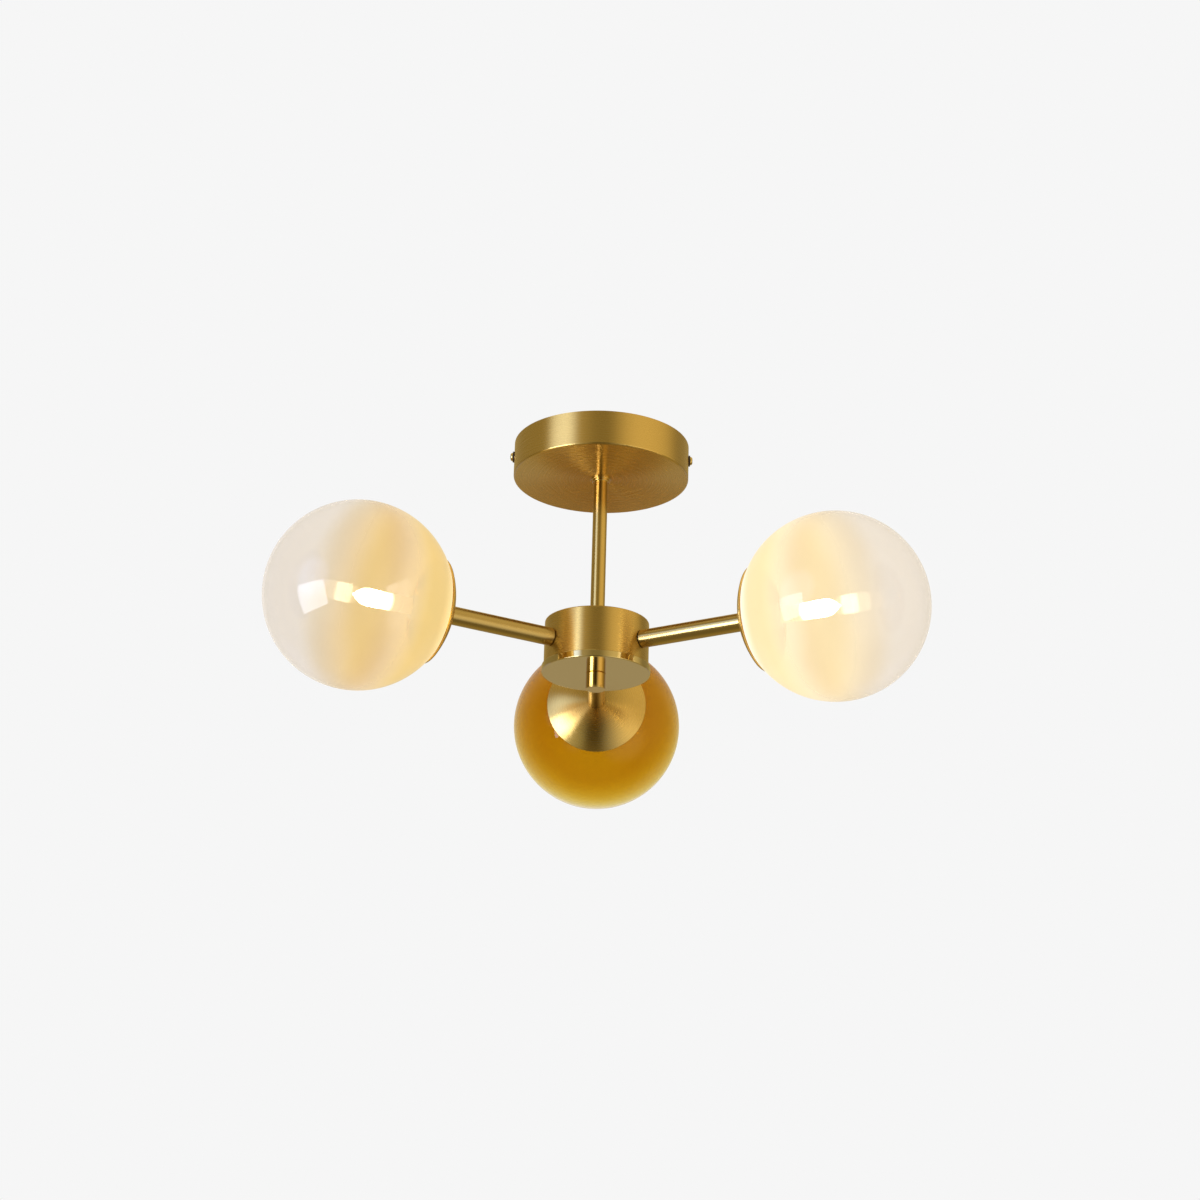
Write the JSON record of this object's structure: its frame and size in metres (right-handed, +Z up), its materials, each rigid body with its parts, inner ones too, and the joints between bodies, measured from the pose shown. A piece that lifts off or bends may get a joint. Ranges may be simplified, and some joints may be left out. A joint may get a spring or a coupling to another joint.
{
  "type": "globe ceiling light",
  "caption": "Semi-flush ceiling light: round canopy, short stem and hub carry level arms, each with a shaded glass globe over a capsule bulb.",
  "frame": {"origin": "middle of the ceiling bracket's two slots, on the ceiling plane", "axes": "+Z up into the ceiling along the stem; +X along the bracket's slots to the right-hand side screw; one arm points along +Y"},
  "size_m": [0.5242, 0.474, 0.255],
  "materials": {
    "satin_brass": "satin, brushed round",
    "polished_brass": "polished",
    "zinc_steel": "zinc plated",
    "plated_steel": "bright plated",
    "dark_washer": "matte",
    "amber_glass": "blown, amber at the cup fading to clear",
    "bulb_glass": "clear, lit from inside",
    "filament": "glowing",
    "lampholder_ceramic": "unglazed white",
    "terminal_plastic": "matte",
    "contact_brass": "plain",
    "lead_insulation": "smooth",
    "earth_insulation": "smooth"
  },
  "bodies": {
    "frame": {"arm_1": "satin_brass", "arm_2": "satin_brass", "arm_3": "satin_brass", "arm_leads_1": "lead_insulation", "arm_leads_2": "lead_insulation", "arm_leads_3": "lead_insulation", "arm_nuts": "zinc_steel", "arm_tubes": "zinc_steel", "canopy": "satin_brass", "cup_1": "satin_brass", "cup_2": "satin_brass", "cup_3": "satin_brass", "cup_nuts": "zinc_steel", "cup_tubes": "zinc_steel", "earth_leads": "earth_insulation", "earth_screw": "contact_brass", "earth_tag": "contact_brass", "finial_stud": "zinc_steel", "holder_contacts": "contact_brass", "holder_strap_1": "zinc_steel", "holder_strap_2": "zinc_steel", "holder_strap_3": "zinc_steel", "hub_drum": "satin_brass", "hub_locknut": "zinc_steel", "hub_nipple": "zinc_steel", "hub_yoke": "zinc_steel", "lampholder_1": "lampholder_ceramic", "lampholder_2": "lampholder_ceramic", "lampholder_3": "lampholder_ceramic", "mounting_bracket": "zinc_steel", "neck_ring_1": "satin_brass", "neck_ring_2": "satin_brass", "neck_ring_3": "satin_brass", "splice_block": "terminal_plastic", "stem": "satin_brass", "stem_collar": "polished_brass", "stem_leads": "lead_insulation", "stem_locknut": "zinc_steel", "stem_nipple": "zinc_steel", "supply_terminal": "terminal_plastic", "terminal_screws": "contact_brass"},
    "globe_1": {"globe_1": "amber_glass"},
    "bulb_1": {"bulb_glass_1": "bulb_glass", "bulb_filament_1": "filament", "bulb_pins_1": "plated_steel"},
    "globe_2": {"globe_2": "amber_glass"},
    "bulb_2": {"bulb_glass_2": "bulb_glass", "bulb_filament_2": "filament", "bulb_pins_2": "plated_steel"},
    "globe_3": {"globe_3": "amber_glass"},
    "bulb_3": {"bulb_glass_3": "bulb_glass", "bulb_filament_3": "filament", "bulb_pins_3": "plated_steel"},
    "cover": {"hub_cover": "satin_brass"},
    "finial_knob": {"finial": "polished_brass"},
    "screw_left": {"side_screw_left": "polished_brass", "side_washer_left": "dark_washer"},
    "screw_right": {"side_screw_right": "polished_brass", "side_washer_right": "dark_washer"}
  },
  "joints": [
    {"name": "globe_unscrew_1", "type": "slide", "parent": "frame", "child": "globe_1", "axis": [-0.866, -0.5, 0], "range_m": [0, 0.1]},
    {"name": "bulb_pull_1", "type": "slide", "parent": "frame", "child": "bulb_1", "axis": [-0.866, -0.5, 0], "range_m": [0, 0.018]},
    {"name": "globe_unscrew_2", "type": "slide", "parent": "frame", "child": "globe_2", "axis": [0.866, -0.5, 0], "range_m": [0, 0.1]},
    {"name": "bulb_pull_2", "type": "slide", "parent": "frame", "child": "bulb_2", "axis": [0.866, -0.5, 0], "range_m": [0, 0.018]},
    {"name": "globe_unscrew_3", "type": "slide", "parent": "frame", "child": "globe_3", "axis": [0, 1, 0], "range_m": [0, 0.1]},
    {"name": "bulb_pull_3", "type": "slide", "parent": "frame", "child": "bulb_3", "axis": [0, 1, 0], "range_m": [0, 0.018]},
    {"name": "cover_drop", "type": "slide", "parent": "frame", "child": "cover", "axis": [0, 0, -1], "range_m": [0, 0.05]},
    {"name": "finial_unscrew", "type": "slide", "parent": "cover", "child": "finial_knob", "axis": [0, 0, -1], "range_m": [0, 0.02]},
    {"name": "side_screw_left_out", "type": "slide", "parent": "frame", "child": "screw_left", "axis": [-1, 0, 0], "range_m": [0, 0.012]},
    {"name": "side_screw_right_out", "type": "slide", "parent": "frame", "child": "screw_right", "axis": [1, 0, 0], "range_m": [0, 0.012]}
  ]
}
